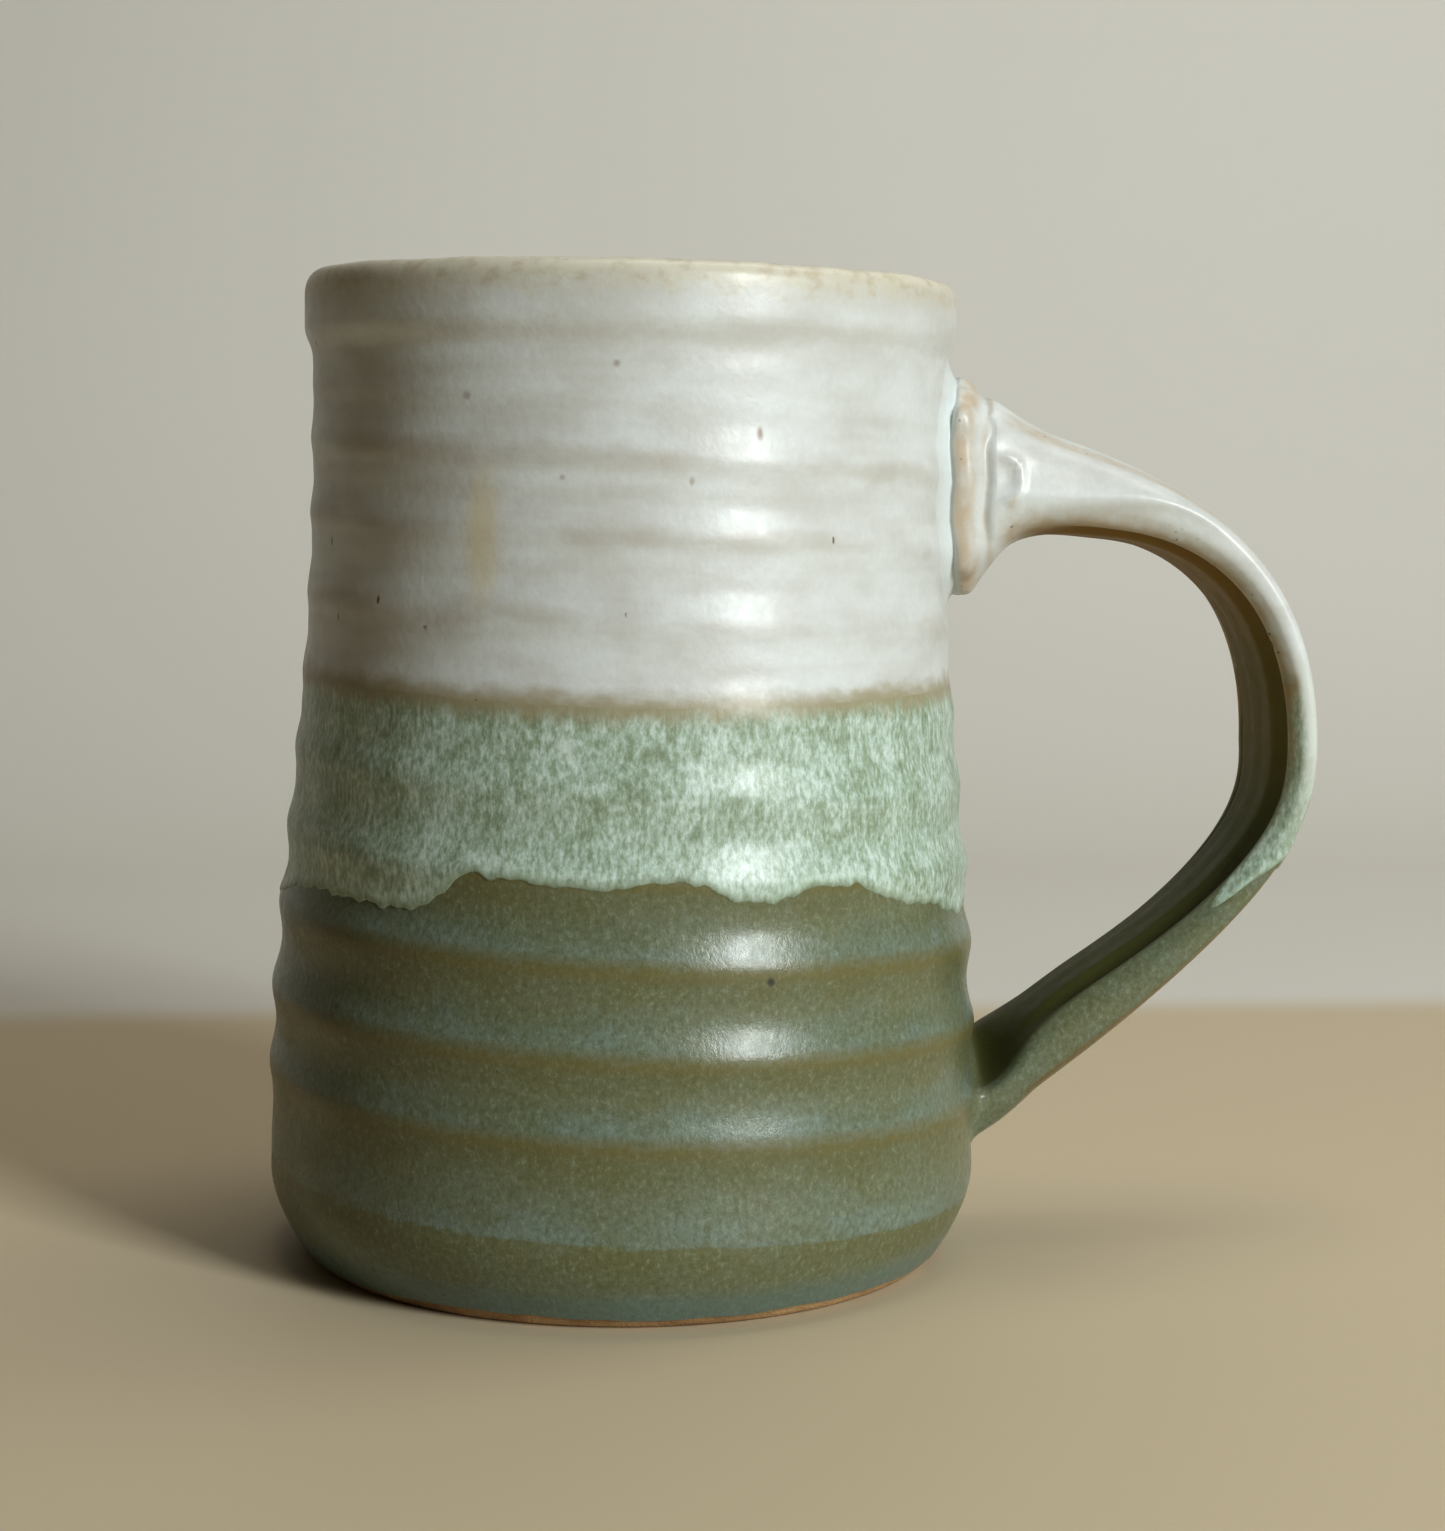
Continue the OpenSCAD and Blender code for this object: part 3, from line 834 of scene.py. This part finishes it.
# Reach of the upper cuff along the strap, and the heights of the coats' edges on the strap
CUFF_REACH, STRAP_BAND_Z, STRAP_DRIP_Z = 5.8, 74.0, 51.0
CUFF_END = float(np.interp(CUFF_REACH, ROOT_TABLE, S_TABLE))
TAIL_CUFF = 1.955
STRAP_BAND = strap_level(STRAP_BAND_Z + 0.5 * ripple(STRAP_AROUND, 31, 1, 5), 0.5, 1.2)
# The coat runs furthest down the near edge, where it ends in a thick drip
DRIP_RUN = -5.0 * np.exp(-((STRAP_AROUND - 2.75) / 0.4) ** 2)
EDGE_WAVES = 0.7 * ripple(STRAP_AROUND, 33, 2, 14)
STRAP_DRIP = strap_level(STRAP_DRIP_Z + DRIP_RUN + EDGE_WAVES, 1.0, 1.7)
DRIP_PROUD = 0.28


def strap_drip_rows(count):
    """The overlapping coat on the strap: flush where it starts and proud at its lower edge."""
    rows = []
    for t in np.linspace(0, 1, count):
        s_here = mix(STRAP_BAND, STRAP_DRIP, t)
        to_edge = (STRAP_DRIP - s_here) * 45
        rounded = np.sqrt(np.clip(1 - (1 - np.clip(to_edge / 0.9, 0, 1)) ** 2, 0, 1))
        outside = smooth(-np.sin(STRAP_AROUND) + 0.6)
        proud = DRIP_PROUD * outside * smooth((t - 0.75) / 0.2) * rounded
        rows.append(strap_point(s_here, STRAP_AROUND, -proud))
    return rows


def mark_strap(piece):
    """The same marks as on the cup, where the glaze is thin (edges and roll), and the inner face, which
    the materials darken as painted shade.
    """
    p = points_of(piece)
    around = 2 * math.pi * (np.arange(len(p)) % AROUND) / AROUND
    away = p[:, 0] - on_wall(np.clip(p[:, 1], -20, 20), p[:, 2])
    inner = smooth(np.sin(around) / 0.35)
    beside = np.abs(np.cos(around)) ** SECTION_POWER
    edge = np.exp(-((np.abs(np.sin(2 * around)) - 1) / 0.07) ** 2) * (1 - inner)
    rust = smooth((p[:, 2] - 48) / 12) + 0.5 * np.exp(-((p[:, 2] - 77) / 8) ** 2)
    gutter = rust * np.exp(-((beside - 0.84) / 0.12) ** 2) * inner
    roll = np.exp(-((away - 3.1) / 1.3) ** 4) + 0.6 * np.exp(-((away - 5.7) / 0.4) ** 2)
    low_edge = (p[:, 2] < 60) * np.exp(-((around - 3.65) / 0.14) ** 2) * smooth((away - 4) / 6)
    mark = np.exp(-((p[:, 0] - MARK_X - 0.9) / 0.7) ** 2 - ((p[:, 2] - MARK_Z + 3.4) / 0.9) ** 2)
    corner = rust * np.exp(-((around - 2.55) / 0.2) ** 2)
    worn = 0.7 * edge + np.maximum(gutter, corner)
    thin = np.maximum(worn * smooth((away - 6.5) / 2), np.where(p[:, 2] > MIDDLE_Z, roll, 0))
    thin = np.maximum(thin, low_edge)
    paint(piece, "thin", np.maximum(thin, mark * (p[:, 1] < -8)))
    clear = np.where(p[:, 2] > MIDDLE_Z, smooth((away - 7) / 6), smooth((away + 1) / 3))
    # The strap's inner face, where the materials put painted shade
    paint(piece, "inner", inner * smooth((0.92 - beside) / 0.14) * clear)
    paint(piece, "pale", (1 - inner) * smooth((p[:, 2] - 51) / 17))
    paint(piece, "pool", np.exp(-((away - 0.9) / 0.9) ** 2))
    edge_z = strap_point(STRAP_DRIP, STRAP_AROUND)[:, 2]
    paint(piece, "above_drip", p[:, 2] - edge_z[np.arange(len(p)) % AROUND])
    paint(piece, "above_band", p[:, 2] - STRAP_BAND_Z)
    paint(piece, "ridge", np.zeros(len(p)))
    paint(piece, "below_ridge", np.full(len(p), 0.5))
    paint(piece, "height", p[:, 2])


strap_core = strap_rows(0.0, CUFF_END, 44, COAT) + strap_rows(CUFF_END, TAIL_CUFF, 160, COAT)[1:]
strap = skin("strap_clay", strap_core + strap_rows(TAIL_CUFF, 2.0, 24, COAT)[1:], False)
cuff = skin("upper_cuff", strap_rows(0.0, CUFF_END, 44, 0), False)
strap_white = coat("strap_white", strap_rows(CUFF_END, STRAP_BAND, 90, 0),
                   strap_rows(CUFF_END, STRAP_BAND, 90, COAT))
strap_overlap = coat("strap_overlap", strap_drip_rows(90),
                     strap_rows(STRAP_BAND, STRAP_DRIP, 90, COAT))
strap_green = coat("strap_green", strap_rows(STRAP_DRIP, TAIL_CUFF, 70, 0),
                   strap_rows(STRAP_DRIP, TAIL_CUFF, 70, COAT))
tail_cuff = skin("lower_cuff", strap_rows(TAIL_CUFF, 2.0, 24, 0), False)

# The liner reads the same marks, so it is tan below the height of the band, where it should be white
for piece in (white, overlap, green, liner, clay):
    mark_cup(piece)
for piece in (strap, cuff, strap_white, strap_overlap, strap_green, tail_cuff):
    mark_strap(piece)

place(white, "white_glaze", WHITE, "upper_white_glaze")
place(overlap, "mottled_glaze", MOTTLED, "overlap_glaze")
place(green, "green_glaze", GREEN, "lower_green_glaze")
place(liner, "white_glaze", WHITE, "inside_glaze")
place(clay, "bare_clay", CLAY, "thrown_body")
place(strap, "bare_clay", CLAY, "handle_strap")
place(cuff, "white_glaze", WHITE, "upper_join_collar")
place(strap_white, "white_glaze", WHITE, "handle_white_glaze")
place(strap_overlap, "mottled_glaze", MOTTLED, "handle_overlap_glaze")
place(strap_green, "green_glaze", GREEN, "handle_green_glaze")
place(tail_cuff, "green_glaze", GREEN, "lower_join_collar")

# ---------------------------------------------------------------------------
# Floor, light and camera
# ---------------------------------------------------------------------------


def backdrop():
    """A pale table that sweeps up into a wall far behind."""
    depth = [(-1.2, 0), (0.35, 0)]
    for a in np.linspace(0.15, math.pi / 2, 10):
        depth.append((0.35 + 0.25 * math.sin(a), 0.25 - 0.25 * math.cos(a)))
    depth += [(0.6, 1.6)]
    points = [(x, y, z) for y, z in depth for x in (-2.0, 2.0)]
    faces = [(2 * i, 2 * i + 1, 2 * i + 3, 2 * i + 2) for i in range(len(depth) - 1)]
    mesh = bpy.data.meshes.new("floor")
    mesh.from_pydata(points, [], faces)
    mesh.shade_smooth()
    floor = bpy.data.objects.new("floor", mesh)
    bpy.context.scene.collection.objects.link(floor)
    look = Look("plain floor")
    behind = look.put("ShaderNodeSeparateXYZ", {0: look.place}).outputs["Y"]
    tone = look.blend(look.span(behind, 0.145, 0.17), (202, 187, 160), (216, 214, 207))
    floor.data.materials.append(look.finish(tone, 0.6))


def soft_light(name, at, aim, size, power, colour):
    lamp = bpy.data.lights.new(name, "AREA")
    lamp.shape = "RECTANGLE"
    lamp.size, lamp.size_y = size
    lamp.energy, lamp.color = power, colour
    holder = bpy.data.objects.new(name, lamp)
    holder.location = at
    holder.rotation_euler = (Vector(aim) - Vector(at)).to_track_quat("-Z", "Y").to_euler()
    bpy.context.scene.collection.objects.link(holder)


def camera():
    """Level with the rim and looking slightly down, as a phone held in front of the cup."""
    swing, drop, roll = math.radians(6.5), math.radians(5.8), math.radians(0.65)
    ahead = Vector((math.sin(swing) * math.cos(drop), math.cos(swing) * math.cos(drop), -math.sin(drop)))
    right = Vector((math.cos(swing), -math.sin(swing), 0))
    up = right.cross(ahead)
    x = right * math.cos(roll) + up * math.sin(roll)
    y = up * math.cos(roll) - right * math.sin(roll)
    view = bpy.data.cameras.new("camera")
    view.lens, view.sensor_width = 66.1, 36.0
    view.clip_start = 0.01
    holder = bpy.data.objects.new("camera", view)
    holder.matrix_world = Matrix((x, y, -ahead)).transposed().to_4x4()
    holder.location = Vector((-28.9, -361.8, 99.4)) * MM
    bpy.context.scene.collection.objects.link(holder)
    bpy.context.scene.camera = holder


backdrop()
soft_light("window", (0.60, -0.78, 0.47), (0, 0, 0.07), (0.24, 0.56), 9.6, (0.93, 0.985, 1.0))
soft_light("wall wash", (0.3, 0.1, 1.1), (0.1, 0.6, 0.15), (1.0, 0.4), 3.2, (1.0, 0.95, 0.86))
world = bpy.data.worlds.new("room")
world.use_nodes = True
world.node_tree.nodes["Background"].inputs["Color"].default_value = (1.0, 0.80, 0.45, 1)
world.node_tree.nodes["Background"].inputs["Strength"].default_value = 0.03
bpy.context.scene.world = world
bpy.context.scene.view_settings.view_transform = "Standard"
bpy.context.scene.view_settings.look = "Medium High Contrast"
camera()
